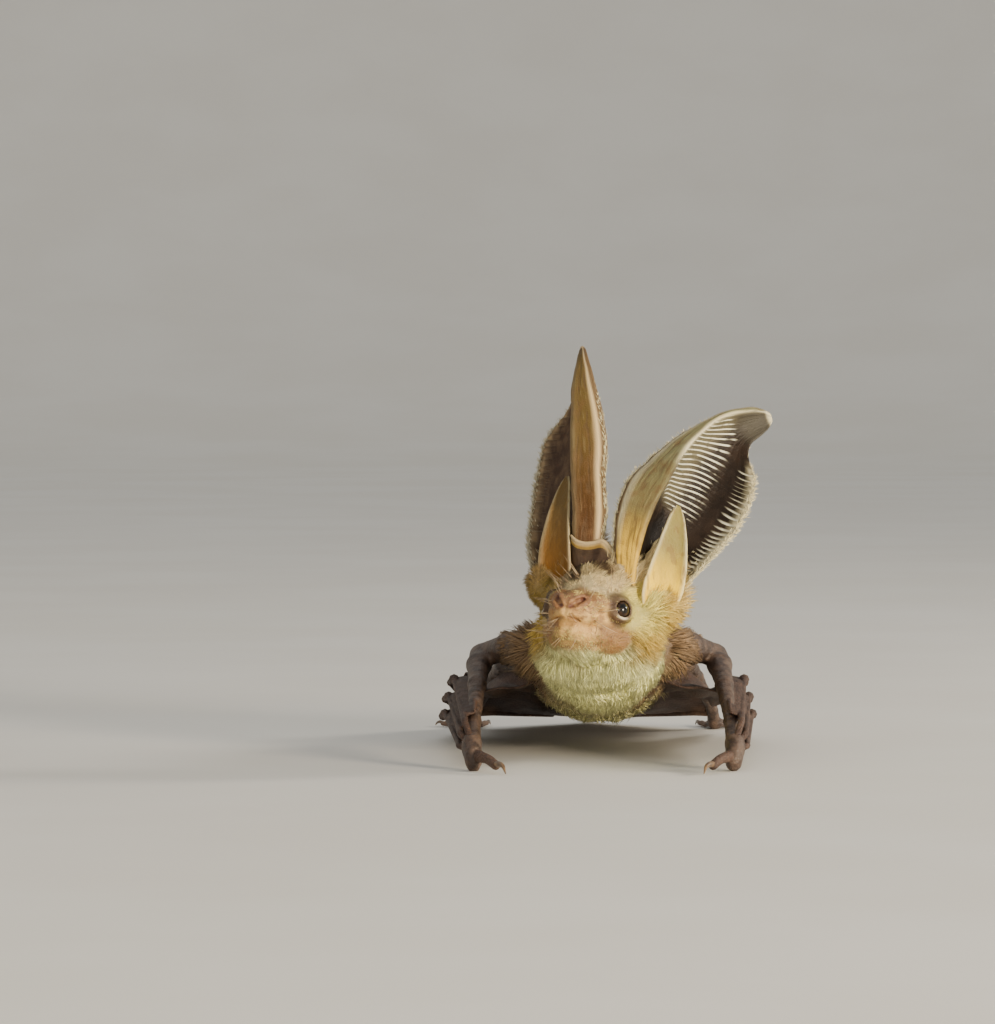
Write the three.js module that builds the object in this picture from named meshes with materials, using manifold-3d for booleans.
// A brown long-eared bat, life size, crouched on its wrists and hind feet with its head raised
// and turned, its great ears up and its wings folded along its sides. It is a still model.
// Units are millimetres. +Z is up, the bat faces -Y and its left side is +X.
// The origin is on the floor, under the middle of the bat.

import * as THREE from 'three';
import { mergeVertices } from 'three/addons/utils/BufferGeometryUtils.js';
import Module from 'manifold-3d';

const wasm = await Module();
wasm.setup();

// ---------- driving dimensions ----------

const GAP = 0.3; // between any two neighbouring pieces
const TAIL_RADIUS = 1.5;
const MEMBRANE = 0.5; // thickness of the wing and tail skin
const EAR_SKIN = 0.6; // thickness of an ear's blade
const EYE_RADIUS = 1.35;
const SHAFT = 0.55; // radius of a finger bone with its skin
const KNUCKLE = 0.85;

const HEAD = { at: [0, -12, 18.65], yaw: -25, pitch: -15, roll: 3 };
const EYE = [4.5, -5.8, 0.3]; // in the head's frame, on its left side
const SHOULDER = [7.6, 2.5, 14];
const ELBOW = [15.6, 19.6, 12.4];
const WRIST = [16.4, -16.2, 3.1];
const HIP = [4.6, 29, 8.4];
const KNEE = [12.4, 37, 10.2];
const ANKLE = [16.2, 52, 2.9];

// ---------- materials ----------

function material(color, roughness) {
  return new THREE.MeshStandardMaterial({ color, roughness, metalness: 0 });
}

const FUR = material('#7d5f3f', 0.9);
const PALE_FUR = material('#b7a482', 0.9);
const EAR = material('#8a6a50', 0.6);
const TRAGUS = material('#c2a266', 0.6);
const WING = material('#4a382e', 0.55);
const EYEBALL = material('#120d0a', 0.08);
const CLAW = material('#6b5a48', 0.4);

// ---------- small helpers ----------

const radians = THREE.MathUtils.degToRad;
const vec = (p) => new THREE.Vector3(...p);

/** The point on the bat's left (+1) or right (-1) side. */
const onSide = (side, [x, y, z, ...rest]) => [side * x, y, z, ...rest];

/** Reads a value from keys [[t, value], ...], eased between them. */
function keyed(keys, t) {
  const last = keys.length - 1;
  if (t <= keys[0][0]) return keys[0][1];
  if (t >= keys[last][0]) return keys[last][1];
  const i = keys.findIndex(([at]) => at > t) - 1;
  const [[t0, v0], [t1, v1]] = [keys[i], keys[i + 1]];
  const u = (t - t0) / (t1 - t0);
  return v0 + (v1 - v0) * u;
}

/** A closed geometry becomes a solid, its faces turned outwards. */
function solid(geometry) {
  const flat = geometry.clone();
  flat.deleteAttribute('normal');
  flat.deleteAttribute('uv');
  const merged = mergeVertices(flat, 1e-4);
  const vertProperties = new Float32Array(merged.attributes.position.array);
  const index = Array.from(merged.index.array);
  const triVerts = [];
  for (let k = 0; k < index.length; k += 3) {
    const [a, b, c] = index.slice(k, k + 3);
    if (a !== b && b !== c && c !== a) triVerts.push(a, b, c);
  }
  const make = () => new wasm.Manifold(
    new wasm.Mesh({ numProp: 3, vertProperties, triVerts: new Uint32Array(triVerts) }));
  const made = make();
  if (made.volume() > 0) return made;
  for (let k = 0; k < triVerts.length; k += 3) {
    [triVerts[k + 1], triVerts[k + 2]] = [triVerts[k + 2], triVerts[k + 1]];
  }
  return make();
}

const union = (solids) => solids.reduce((all, one) => all.add(one));

/** What is left of a solid after its neighbours are cut away: the largest body of it. */
function without(body, ...cutters) {
  const cut = cutters.reduce((left, cutter) => left.subtract(cutter), body);
  return cut.decompose().reduce((best, one) => (one.volume() > best.volume() ? one : best));
}

/** Triangles from a closed grid of rings, each an array of points, with a fan over both ends. */
function ringsGeometry(rings) {
  const sides = rings[0].length;
  const points = rings.flat();
  const index = [];
  for (let i = 0; i + 1 < rings.length; i++) {
    for (let j = 0; j < sides; j++) {
      const a = i * sides + j;
      const b = i * sides + (j + 1) % sides;
      index.push(a, b, b + sides, a, b + sides, a + sides);
    }
  }
  for (const [ring, first, order] of [[rings[0], 0, 1], [rings.at(-1), (rings.length - 1) * sides, -1]]) {
    const centre = points.length;
    points.push(ring.reduce((sum, p) => sum.add(p), new THREE.Vector3()).divideScalar(sides));
    for (let j = 0; j < sides; j++) {
      const [a, b] = [first + j, first + (j + 1) % sides];
      index.push(centre, order > 0 ? b : a, order > 0 ? a : b);
    }
  }
  const geometry = new THREE.BufferGeometry().setFromPoints(points);
  geometry.setIndex(index);
  return geometry;
}

/**
 * A form along a smooth line through stations [x, y, z, wide, tall].
 * wide is the half width across, tall the half height; a limb gives wide alone. Its rings stand
 * square to the line, or to axis where one is given. All but the slimmest have rounded ends.
 */
function form(stations, { sides = 8, steps = 8, grow = 0, axis = null } = {}) {
  const line = new THREE.CatmullRomCurve3(stations.map((s) => vec(s)), false, 'centripetal');
  const sizes = new THREE.CatmullRomCurve3(
    stations.map(([, , , wide, tall = wide]) => new THREE.Vector3(wide, tall, 0)), false, 'centripetal');
  const count = stations.length - 1;
  const rings = [];
  const ring = (t, along, shrink) => {
    const forward = axis ? vec(axis) : line.getTangent(t);
    const across = new THREE.Vector3(0, 0, 1).cross(forward);
    if (across.length() < 0.05) across.set(1, 0, 0);
    across.normalize();
    const up = forward.clone().cross(across);
    const size = sizes.getPoint(t);
    const [wide, tall] = [(size.x + grow) * shrink, (size.y + grow) * shrink];
    const middle = line.getPoint(t).addScaledVector(forward, along);
    rings.push(Array.from({ length: sides }, (_, j) => {
      const angle = (2 * Math.PI * j) / sides;
      return middle.clone()
        .addScaledVector(across, wide * Math.cos(angle))
        .addScaledVector(up, tall * Math.sin(angle));
    }));
  };
  const capDepth = (t) => {
    const size = sizes.getPoint(t);
    return (Math.min(size.x, size.y) + grow) * 0.8;
  };
  const bends = [[], [50], [70, 35]][(sides > 5) + (sides > 8)];
  for (const degrees of bends) {
    ring(0, -capDepth(0) * Math.sin(radians(degrees)), Math.cos(radians(degrees)));
  }
  const total = Math.max(steps, count);
  const reach = bends.length ? 0 : grow;
  ring(0, -reach, 1);
  for (let i = 1; i < total; i++) ring(i / total, 0, 1);
  ring(1, reach, 1);
  for (const degrees of [...bends].reverse()) {
    ring(1, capDepth(1) * Math.sin(radians(degrees)), Math.cos(radians(degrees)));
  }
  return solid(ringsGeometry(rings));
}

/**
 * A thin sheet through a grid of points, thickness wide, closed all round, and grown by grow on
 * every side, its edges too. grid[i][j] runs i along and j across.
 */
function sheet(grid, thickness, grow = 0) {
  const [rows, columns] = [grid.length, grid[0].length];
  const at = (i, j) => grid[Math.min(Math.max(i, 0), rows - 1)][Math.min(Math.max(j, 0), columns - 1)];
  const spread = (i, j) => {
    const inner = at(Math.min(Math.max(i, 1), rows - 2), Math.min(Math.max(j, 1), columns - 2));
    return grid[i][j].clone().sub(inner).normalize().multiplyScalar(1.5 * grow);
  };
  const skin = (half) => grid.map((row, i) => row.map((point, j) => {
    const along = at(i + 1, j).clone().sub(at(i - 1, j));
    const across = at(i, j + 1).clone().sub(at(i, j - 1));
    return point.clone().add(spread(i, j)).addScaledVector(along.cross(across).normalize(), half);
  }));
  const half = thickness / 2 + grow;
  const [front, back] = [skin(half), skin(-half)];
  const points = [...front.flat(), ...back.flat()];
  const low = rows * columns;
  const index = [];
  for (let i = 0; i + 1 < rows; i++) {
    for (let j = 0; j + 1 < columns; j++) {
      const a = i * columns + j;
      index.push(a, a + columns, a + 1, a + 1, a + columns, a + columns + 1);
      index.push(low + a, low + a + 1, low + a + columns);
      index.push(low + a + 1, low + a + columns + 1, low + a + columns);
    }
  }
  const rim = [];
  for (let j = 0; j < columns; j++) rim.push(j);
  for (let i = 1; i < rows; i++) rim.push(i * columns + columns - 1);
  for (let j = columns - 2; j >= 0; j--) rim.push((rows - 1) * columns + j);
  for (let i = rows - 2; i > 0; i--) rim.push(i * columns);
  rim.forEach((a, k) => {
    const b = rim[(k + 1) % rim.length];
    index.push(a, b, low + b, a, low + b, low + a);
  });
  const geometry = new THREE.BufferGeometry().setFromPoints(points);
  geometry.setIndex(index);
  return solid(geometry);
}

function ball(radius, centre, segments = 9, rings = 6) {
  return solid(new THREE.SphereGeometry(radius, segments, rings).translate(...centre));
}

const FLOOR = solid(new THREE.BoxGeometry(400, 400, 50).translate(0, 0, -25));

// ---------- head ----------

const headPlace = new THREE.Matrix4().compose(
  vec(HEAD.at),
  new THREE.Quaternion().setFromEuler(
    new THREE.Euler(radians(HEAD.pitch), radians(HEAD.roll), radians(HEAD.yaw), 'ZYX')),
  new THREE.Vector3(1, 1, 1));

const inHead = (p) => vec(p).applyMatrix4(headPlace).toArray();
const placedHead = (body) => body.transform(headPlace.elements);

/** Skull, muzzle and cheeks with their fur, in the head's own frame: nose towards -Y. */
function headForm(grow = 0) {
  const skull = form([
    [0, 5.6, 1.6, 5.4, 5.9],
    [0, 1.8, 2.3, 7.2, 7.8],
    [0, -1.8, 2.1, 6.8, 7.6],
    [0, -4.6, 0.0, 5.7, 5.2],
    [0, -7.0, -1.0, 4.6, 3.9],
    [0, -9.2, -1.3, 4.0, 3.1],
    [0, -10.4, -1.2, 3.1, 2.4],
  ], { sides: 14, steps: 8, grow, axis: [0, -1, 0] });
  const swelling = (side) => form([
    [side * 2.1, -9.4, 0.3, 1.7, 1.4],
    [side * 2.7, -7.0, 0.9, 2.0, 1.6],
  ], { sides: 6, steps: 2, grow });
  const cheek = (side) => form([
    [side * 3.9, -4.2, -2.2, 2.4, 2.6],
    [side * 5.0, -1.0, -1.6, 3.8, 4.2],
    [side * 5.2, 3.0, -0.6, 3.9, 4.8],
  ], { sides: 8, steps: 2, grow });
  return union([skull, swelling(1), swelling(-1), cheek(1), cheek(-1)]);
}

const headSolid = placedHead(headForm());
const headCutter = placedHead(headForm(GAP));

const eyes = {};
for (const [name, side] of [['left', 1], ['right', -1]]) {
  const centre = inHead(onSide(side, EYE));
  eyes[name] = { whole: ball(EYE_RADIUS, centre), cutter: ball(EYE_RADIUS + GAP, centre) };
}

// ---------- ears ----------

// Each ear: the line of its deepest groove from base to tip, as offsets from the head's middle,
// and facing, the way its bowl opens from base to tip: degrees turned from the front towards the
// bat's left. bowl, keel and band scale its outer half, its inner half and its band at t, as one
// ear is spread wider.
const EARS = {
  left: {
    side: 1,
    groove: [
      [4.4, -1.0, 1.4], [7.5, 2.3, 9.1], [10.6, 5.6, 14.3], [13.9, 9.0, 19.5], [17.4, 11.8, 23.3], [21.9, 13.6, 25.3],
    ],
    facing: [[0, 20], [1, 12]],
    bowl: [[0, 0.8], [0.12, 0.72], [0.25, 0.86], [0.4, 1.08], [0.5, 1.15], [0.88, 1.15], [1, 1.4]],
    keel: [[0, 1], [0.3, 1.1], [0.9, 1.15], [1, 1.3]],
    band: [[0, 0.85], [0.12, 0.85], [0.26, 1.0], [0.37, 1.1], [0.43, 0.97], [0.52, 0.78], [0.62, 0.55], [1, 0.5]],
  },
  right: {
    side: -1,
    groove: [
      [-4.0, 3.4, 2.4], [-3.4, 6.0, 10.4], [-3.4, 8.8, 17.6], [-2.9, 11.6, 24.4], [-2.5, 14.0, 30.4], [-2.5, 15.4, 34.3],
    ],
    facing: [[0, -45], [0.3, -52], [0.5, -58], [0.8, -72], [1, -80]],
    bowl: [[0, 0.8], [0.5, 0.8], [0.58, 0.86], [0.66, 0.4], [0.9, 0.5], [1, 1]],
    keel: [[0, 1]],
    band: [[0, 0.9], [0.15, 0.8], [0.35, 0.82], [0.45, 0.95], [1, 0.95]],
  },
};

// An ear's section at t, from base 0 to tip 1. From the groove the bowl rises to the outer edge
// and, on the inner side, to the keel. Past the keel the smooth band falls away, and its lip
// rolls back.
const OUTER_RADIUS = [
  [0, 3.0], [0.1, 5.6], [0.22, 6.8], [0.5, 6.2], [0.62, 5.6], [0.68, 4.7], [0.72, 3.2], [0.8, 2.5], [0.9, 1.8], [1, 1.1],
];
const INNER_RADIUS = [[0, 2.2], [0.1, 3.6], [0.25, 4.6], [0.5, 4.6], [0.7, 3.6], [0.85, 2.4], [0.96, 1.5], [1, 1.1]];
const OUTER_ANGLE = [[0, 85], [0.25, 68], [0.6, 60], [0.9, 45], [1, 30]];
const INNER_ANGLE = [[0, 92], [0.3, 80], [0.7, 74], [0.9, 58], [1, 35]];
const BAND_WIDTH = [
  [0, 1.5], [0.12, 3.6], [0.25, 4.3], [0.5, 3.7], [0.64, 3.0], [0.75, 2.0], [0.82, 1.4], [0.94, 0.8], [1, 0.6],
];
const LIP_WIDTH = [[0, 0.8], [0.2, 1.4], [0.5, 1.35], [0.64, 1.1], [0.75, 0.8], [1, 0.6]];
const BAND_TURN = [[0, -40], [0.25, -42], [0.5, -55], [0.8, -55], [1, -30]]; // degrees that the band falls away
const LIP_TURN = [[0, -88], [0.64, -88], [0.85, -64], [1, -45]];

/** The section's points [across, forward], across being positive towards the outer edge. */
function earSection(t, { bowl, keel, band }, bowlSteps) {
  const arc = (radius, angle) => [radius * Math.sin(angle), Math.abs(radius) * (1 - Math.cos(angle))];
  const points = [];
  for (let k = bowlSteps; k > 0; k--) {
    points.push(arc(keyed(OUTER_RADIUS, t) * keyed(bowl, t), (radians(keyed(OUTER_ANGLE, t)) * k) / bowlSteps));
  }
  for (let k = 0; k <= bowlSteps; k++) {
    points.push(arc(-keyed(INNER_RADIUS, t) * keyed(keel, t), (radians(keyed(INNER_ANGLE, t)) * k) / bowlSteps));
  }
  const walk = (length, degrees) => {
    const [across, forward] = points.at(-1);
    points.push([across - length * Math.cos(radians(degrees)), forward + length * Math.sin(radians(degrees))]);
  };
  walk(keyed(BAND_WIDTH, t) * keyed(band, t), keyed(BAND_TURN, t));
  walk(keyed(LIP_WIDTH, t) * keyed(band, t), keyed(LIP_TURN, t));
  return points;
}

function earSheet(ear, grow = 0) {
  const { side, groove, facing } = ear;
  const [rows, bowlSteps] = [12, 3];
  const middle = vec(HEAD.at);
  const line = new THREE.CatmullRomCurve3(groove.map((p) => vec(p).add(middle)), false, 'centripetal');
  const grid = [];
  for (let i = 0; i < rows; i++) {
    const t = 1 - (1 - i / (rows - 1)) ** 1.25;
    const along = line.getTangent(t);
    const turn = radians(keyed(facing, t));
    const forward = new THREE.Vector3(Math.sin(turn), -Math.cos(turn), 0);
    forward.addScaledVector(along, -forward.dot(along)).normalize();
    const outward = forward.clone().cross(along).multiplyScalar(-side).normalize();
    grid.push(earSection(t, ear, bowlSteps).map(([across, ahead]) => line.getPoint(t)
      .addScaledVector(outward, across).addScaledVector(forward, ahead)));
  }
  return sheet(grid, EAR_SKIN, grow);
}

// The tragus is the spear-shaped lobe that stands in front of each ear's opening.
const TRAGI = {
  left: { side: 1, base: [6.6, -5.0, 1.2], tip: [9.5, 0.6, 14.4], facing: 12 },
  right: { side: -1, base: [-5.6, 0.2, 2.4], tip: [-4.4, 5.0, 18.0], facing: -38 },
};
const TRAGUS_WIDTH = [[0, 4.8], [0.2, 5.4], [0.45, 4.7], [0.7, 3.4], [0.9, 2.0], [1, 0.8]];

function tragusSheet({ side, base, tip, facing }, grow = 0) {
  const [from, to] = [base, tip].map((p) => vec(p).add(vec(HEAD.at)));
  const along = to.clone().sub(from).normalize();
  const forward = new THREE.Vector3(Math.sin(radians(facing)), -Math.cos(radians(facing)), 0);
  forward.addScaledVector(along, -forward.dot(along)).normalize();
  const outward = forward.clone().cross(along).multiplyScalar(-side).normalize();
  const [rows, columns] = [8, 4];
  const grid = [];
  for (let i = 0; i < rows; i++) {
    const t = i / (rows - 1);
    const width = keyed(TRAGUS_WIDTH, t);
    const row = [];
    for (let j = 0; j < columns; j++) {
      const across = j / (columns - 1) - 0.5;
      row.push(from.clone().lerp(to, t)
        .addScaledVector(outward, width * across + 0.2 * Math.sin(Math.PI * t))
        .addScaledVector(forward, 0.55 * width * across * across + 0.8 * Math.sin(Math.PI * t)));
    }
    grid.push(row);
  }
  return sheet(grid, EAR_SKIN, grow);
}

// ---------- neck and trunk ----------

// The coat's outline from the chest to the rump.
const TRUNK = [
  [0, -3.0, 13.6, 7.8, 7.8],
  [0, 2.0, 13.4, 9.6, 9.0],
  [0, 9.0, 12.6, 10.6, 9.6],
  [0, 17.0, 11.6, 10.6, 9.2],
  [0, 25.0, 10.4, 9.2, 8.0],
  [0, 31.0, 9.2, 6.8, 6.2],
  [0, 34.0, 8.4, 4.6, 4.4],
];
const NECK = [
  [0, 2.0, 14.0, 8.6, 8.2],
  [-0.2, -5.0, 14.6, 9.2, 7.6],
  [-1.0, -10.0, 14.6, 8.0, 5.6],
];
const NECK_CUT = { at: [0, 0.3, 14], tilt: 12 };

const body = union([
  form(TRUNK, { sides: 14, steps: 8 }),
  form(NECK, { sides: 12, steps: 4 }),
]);
const neckSlab = solid(new THREE.BoxGeometry(60, GAP, 60)
  .rotateX(radians(NECK_CUT.tilt)).translate(...NECK_CUT.at));
const parted = body.subtract(neckSlab).decompose()
  .sort((a, b) => b.volume() - a.volume());
const trunkSolid = parted[0];
const neckSolid = parted[1].subtract(headCutter);
const trunkCutter = form(TRUNK, { sides: 14, steps: 8, grow: GAP });

// ---------- arms ----------

/** A finger: wrist end, knuckle, middle joint and tip, each with its radius. */
const FINGERS = {
  3: [[18.0, -14.2, 2.9, SHAFT], [20.2, 18.6, 4.6, KNUCKLE], [20.6, 31.8, 3.4, 0.75], [19.0, 44.5, 1.7, 0.42]],
  4: [[17.9, -14.2, 4.4, SHAFT], [19.7, 16.8, 7.0, KNUCKLE], [20.2, 27.0, 6.0, 0.7], [19.4, 36.0, 4.6, 0.42]],
  5: [[17.4, -13.8, 5.9, SHAFT], [19.0, 15.0, 9.4, KNUCKLE], [19.5, 24.0, 8.4, 0.65], [18.9, 31.5, 7.0, 0.42]],
};

function fingerForm(side, joints, grow = 0) {
  const stations = [];
  joints.forEach((joint, k) => {
    stations.push(onSide(side, joint));
    const next = joints[k + 1];
    if (!next) return;
    for (const share of [0.1, 0.9]) {
      const [x, y, z] = [0, 1, 2].map((axis) => joint[axis] + (next[axis] - joint[axis]) * share);
      stations.push(onSide(side, [x, y, z, SHAFT]));
    }
  });
  return form(stations, { sides: 5, steps: stations.length - 1, grow });
}

function upperArmForm(side, grow = 0) {
  return form([
    onSide(side, [...SHOULDER, 3.6]),
    onSide(side, [11.8, 10.6, 13.8, 3.0]),
    onSide(side, [ELBOW[0] - 0.6, ELBOW[1] - 1.5, ELBOW[2] + 0.2, 2.1]),
  ], { sides: 8, steps: 4, grow });
}

function forearmForm(side, grow = 0) {
  const at = (share, radius) => {
    const [x, y, z] = [0, 1, 2].map((axis) => ELBOW[axis] + (WRIST[axis] - ELBOW[axis]) * share);
    return onSide(side, [x, y, z + 1.2 * Math.sin(Math.PI * share), radius]);
  };
  return form([at(0, 1.9), at(0.18, 2.0), at(0.45, 1.35), at(0.8, 1.0), at(0.97, 1.25)],
    { sides: 8, steps: 6, grow });
}

/** The wrist's callused pad, on which the bat leans, flat where it meets the floor. */
function wristForm(side, grow = 0) {
  const [x, y, z] = WRIST;
  return form([
    onSide(side, [x + 0.3, y + 1.0, z, 1.9, 2.3]),
    onSide(side, [x - 0.1, y - 0.9, z - 1.1, 1.8, 2.3]),
  ], { sides: 8, steps: 2, grow });
}

function thumbForm(side, grow = 0) {
  const [x, y] = WRIST;
  return form([
    onSide(side, [x - 0.6, y - 2.0, 1.9, 0.95]),
    onSide(side, [x - 1.9, y - 4.2, 1.7, 0.75]),
    onSide(side, [x - 2.9, y - 6.2, 1.1, 0.7]),
  ], { sides: 6, steps: 3, grow });
}

function thumbClawForm(side) {
  const [x, y] = WRIST;
  return form([
    onSide(side, [x - 3.3, y - 7.0, 1.15, 0.55]),
    onSide(side, [x - 3.8, y - 8.1, 1.1, 0.42]),
    onSide(side, [x - 4.1, y - 8.8, 0.4, 0.2]),
  ], { sides: 5, steps: 3 });
}

/** The skin folded between forearm and fingers: a pleated sheet on the fingers' inner side. */
function handMembrane(side, grow = 0) {
  const fingerLine = (joints) => new THREE.CatmullRomCurve3(joints.map((p) => vec(p)), false, 'centripetal');
  const lines = [3, 4, 5].map((n) => fingerLine(FINGERS[n]));
  const [rows, pleats] = [7, [0, 0.5, 1, 1.5, 2, 2.5]];
  const grid = [];
  for (let i = 0; i < rows; i++) {
    const t = 0.05 + (0.9 * i) / (rows - 1);
    const onFinger = lines.map((line) => line.getPoint(t));
    const top = onFinger[2].clone().add(new THREE.Vector3(-0.6, 0, 0.9));
    const ridge = [...onFinger, top];
    grid.push(pleats.map((step) => {
      const [k, part] = [Math.floor(step), step % 1];
      const point = ridge[k].clone().lerp(ridge[k + 1], part);
      point.x -= SHAFT + 0.7 + (part > 0 ? 0.8 : 0);
      point.x *= side;
      return point;
    }));
  }
  return sheet(grid, MEMBRANE, grow);
}

/** The skin between the folded arm, the flank and the leg. */
function sideMembrane(side) {
  const outer = [[17.2, 6, 7.4], [17.6, 16, 7.6], [17.6, 26, 6.4], [17.4, 36, 4.8], [16.4, 46, 4.0]];
  const inner = [[8.8, 6, 9.6], [8.9, 16, 8.6], [7.9, 26, 7.6], [12.0, 36.5, 9.6], [14.6, 45.5, 6.2]];
  const curve = (points) => new THREE.CatmullRomCurve3(points.map((p) => vec(p)), false, 'centripetal');
  const [outerLine, innerLine] = [curve(outer), curve(inner)];
  const [rows, columns] = [7, 5];
  const grid = [];
  for (let i = 0; i < rows; i++) {
    const t = i / (rows - 1);
    const row = [];
    for (let j = 0; j < columns; j++) {
      const s = j / (columns - 1);
      const point = innerLine.getPoint(t).lerp(outerLine.getPoint(t), s);
      point.z += -0.9 * Math.sin(Math.PI * s) + 0.35 * Math.cos(Math.PI * j) * Math.sin(Math.PI * s);
      point.x *= side;
      row.push(point);
    }
    grid.push(row);
  }
  return sheet(grid, MEMBRANE);
}

// ---------- legs and tail ----------

function thighForm(side, grow = 0) {
  return form([
    onSide(side, [...HIP, 3.0]),
    onSide(side, [8.8, 33.2, 9.9, 2.5]),
    onSide(side, [...KNEE, 1.6]),
  ], { sides: 8, steps: 4, grow });
}

function shankForm(side, grow = 0) {
  return form([
    onSide(side, [...KNEE, 1.35]),
    onSide(side, [13.8, 42.5, 7.9, 1.2]),
    onSide(side, [ANKLE[0], ANKLE[1] - 0.8, ANKLE[2] + 0.4, 0.85]),
  ], { sides: 7, steps: 4, grow });
}

const TOES = 5;
const TOE_LENGTH = 4.4;
const TOE_FAN = [-24, 30]; // degrees outward from straight back, inner to outer toe

/** Sole, five toes and their claws, flat underneath. */
function footForm(side, grow = 0) {
  const [x, y, z] = ANKLE;
  const heel = form([
    onSide(side, [x + 0.1, y + 0.4, z - 1.4, 0.95, 1.3]),
    onSide(side, [x + 0.7, y + 3.0, 0.75, 1.5, 1.0]),
  ], { sides: 7, steps: 2, grow });
  const toes = Array.from({ length: TOES }, (_, k) => {
    const share = k / (TOES - 1);
    const turn = radians(TOE_FAN[0] + (TOE_FAN[1] - TOE_FAN[0]) * share + 8);
    const root = [x - 0.2 + 2.1 * share, y + 3.2 - 0.3 * share];
    const at = (length, height, radius) => onSide(side,
      [root[0] + length * Math.sin(turn), root[1] + length * Math.cos(turn), height, radius]);
    return form([
      at(0, 0.45, 0.55), at(TOE_LENGTH, 0.4, 0.42), at(TOE_LENGTH + 0.9, 0.6, 0.3), at(TOE_LENGTH + 1.7, 0.3, 0.12),
    ], { sides: 5, steps: 3, grow });
  });
  return union([heel, ...toes]);
}

function tailForm(grow = 0) {
  return form([
    [0, 33.5, 8.2, TAIL_RADIUS * 1.5],
    [0, 39.0, 6.9, TAIL_RADIUS],
    [0, 48.0, 4.2, 1.0],
    [0, 58.0, 1.7, 0.75],
    [0, 68.5, 0.45, 0.5],
  ], { sides: 7, steps: 7, grow });
}

function calcarForm(side, grow = 0) {
  return form([
    onSide(side, [ANKLE[0] - 1.2, ANKLE[1] + 0.2, 2.6, 0.6]),
    onSide(side, [10.6, 57.0, 1.9, 0.5]),
    onSide(side, [5.6, 61.5, 1.4, 0.4]),
  ], { sides: 5, steps: 4, grow });
}

/** The skin between the leg and the tail, from the rump to the calcar. */
function tailMembrane(side, grow = 0) {
  const [rows, columns] = [7, 4];
  const leg = new THREE.CatmullRomCurve3(
    [[7.0, 34.5, 8.6], [12.1, 38.4, 9.2], [13.8, 43, 7.2], [15.2, 48, 4.6], [14.4, 52.8, 2.4]].map(vec),
    false, 'centripetal');
  const tail = new THREE.CatmullRomCurve3(
    [[0.9, 36, 6.6], [0.7, 41, 5.7], [0.6, 48, 3.9], [0.5, 56, 1.9], [0.4, 62, 1.1], [0.4, 66.5, 0.8]].map(vec),
    false, 'centripetal');
  const grid = [];
  for (let i = 0; i < rows; i++) {
    const t = i / (rows - 1);
    const row = [];
    for (let j = 0; j < columns; j++) {
      const s = j / (columns - 1);
      const point = tail.getPoint(t).lerp(leg.getPoint(t), s);
      const slack = Math.sin(Math.PI * s) * Math.sin(Math.PI * Math.min(1, t * 1.1));
      point.z += -0.7 * slack + 0.25 * slack * Math.cos(Math.PI * j);
      point.z = Math.max(point.z, 0.75);
      point.x *= side;
      row.push(point);
    }
    grid.push(row);
  }
  return sheet(grid, MEMBRANE, grow);
}

// ---------- assembly ----------

const bat = new THREE.Group();

function add(name, body, surface) {
  const mesh = body.getMesh();
  const geometry = new THREE.BufferGeometry();
  geometry.setAttribute('position', new THREE.BufferAttribute(new Float32Array(mesh.vertProperties), 3));
  geometry.setIndex(Array.from(mesh.triVerts));
  const piece = new THREE.Mesh(geometry, surface);
  piece.name = name;
  bat.add(piece);
}

const tailCutter = tailForm(GAP);
const earCutters = {};
for (const [name, ear] of Object.entries(EARS)) {
  earCutters[name] = earSheet(ear, 1.4 * GAP);
}

add('head', without(headSolid, eyes.left.cutter, eyes.right.cutter), FUR);
add('neck', without(neckSolid, ...[1, -1].map((side) => upperArmForm(side, GAP))), PALE_FUR);
add('trunk', without(trunkSolid, ...[1, -1].flatMap((side) => [upperArmForm(side, GAP), thighForm(side, GAP)]),
  tailCutter, headCutter), FUR);
add('tail', without(tailForm(), FLOOR, ...[1, -1].map((side) => thighForm(side, GAP))), WING);

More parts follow.
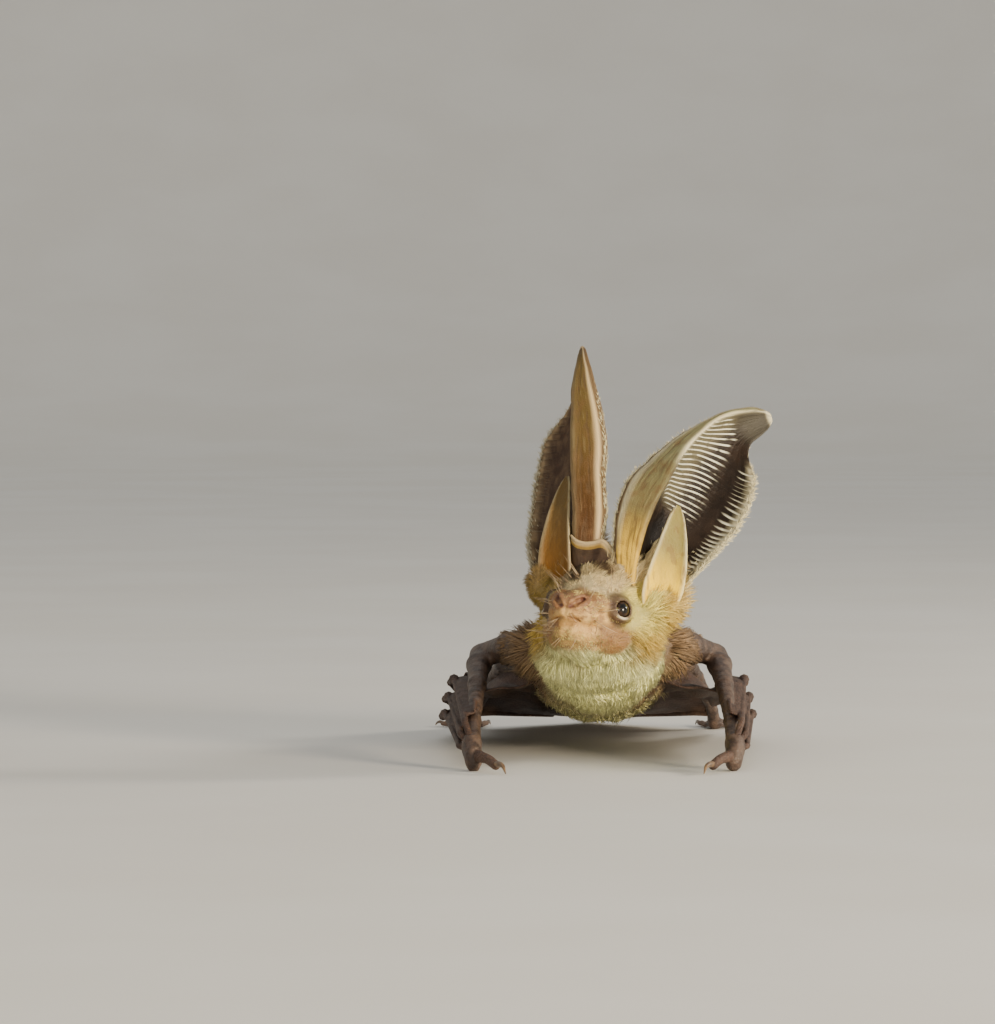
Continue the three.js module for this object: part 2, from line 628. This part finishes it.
for (const [name, side] of [['left', 1], ['right', -1]]) {
  add(`eye_${name}`, eyes[name].whole, EYEBALL);
  add(`ear_${name}`, without(earSheet(EARS[name]), headCutter), EAR);
  add(`tragus_${name}`, without(tragusSheet(TRAGI[name]), headCutter, earCutters[name]), TRAGUS);

  const grown = {
    upperArm: upperArmForm(side, GAP),
    forearm: forearmForm(side, GAP),
    wrist: wristForm(side, GAP),
    thumb: thumbForm(side, GAP),
    thigh: thighForm(side, GAP),
    shank: shankForm(side, GAP),
    foot: footForm(side, GAP),
    calcar: calcarForm(side, GAP),
    fingers: [3, 4, 5].map((n) => fingerForm(side, FINGERS[n], GAP)),
    handMembrane: handMembrane(side, GAP),
    tailMembrane: tailMembrane(side, GAP),
  };
  add(`upper_arm_${name}`, without(upperArmForm(side), headCutter), FUR);
  add(`forearm_${name}`, without(forearmForm(side), grown.upperArm, trunkCutter), WING);
  add(`wrist_${name}`, without(wristForm(side), grown.forearm, FLOOR), WING);
  add(`thumb_${name}`, without(thumbForm(side), grown.wrist, FLOOR), WING);
  add(`thumb_claw_${name}`, without(thumbClawForm(side), grown.thumb, FLOOR), CLAW);
  for (const n of [3, 4, 5]) {
    add(`finger_${n}_${name}`, without(fingerForm(side, FINGERS[n]), grown.wrist, grown.forearm, FLOOR), WING);
  }
  add(`hand_membrane_${name}`, without(handMembrane(side),
    grown.wrist, grown.forearm, grown.upperArm, ...grown.fingers), WING);
  add(`thigh_${name}`, thighForm(side), FUR);
  add(`shank_${name}`, without(shankForm(side), grown.thigh), WING);
  add(`foot_${name}`, without(footForm(side), grown.shank, FLOOR), WING);
  add(`calcar_${name}`, without(calcarForm(side), grown.foot, grown.shank), WING);
  add(`side_membrane_${name}`, without(sideMembrane(side), trunkCutter, grown.upperArm, grown.forearm,
    grown.thigh, grown.shank, grown.foot, grown.handMembrane, grown.tailMembrane, ...grown.fingers), WING);
  add(`tail_membrane_${name}`, without(tailMembrane(side), tailCutter, trunkCutter,
    grown.thigh, grown.shank, grown.foot, grown.calcar), WING);
}

// The origin goes to the middle of the bat's box, on the floor.
const box = new THREE.Box3().setFromObject(bat);
const middle = box.getCenter(new THREE.Vector3());
bat.position.set(-middle.x, -middle.y, -box.min.z);

export default bat;
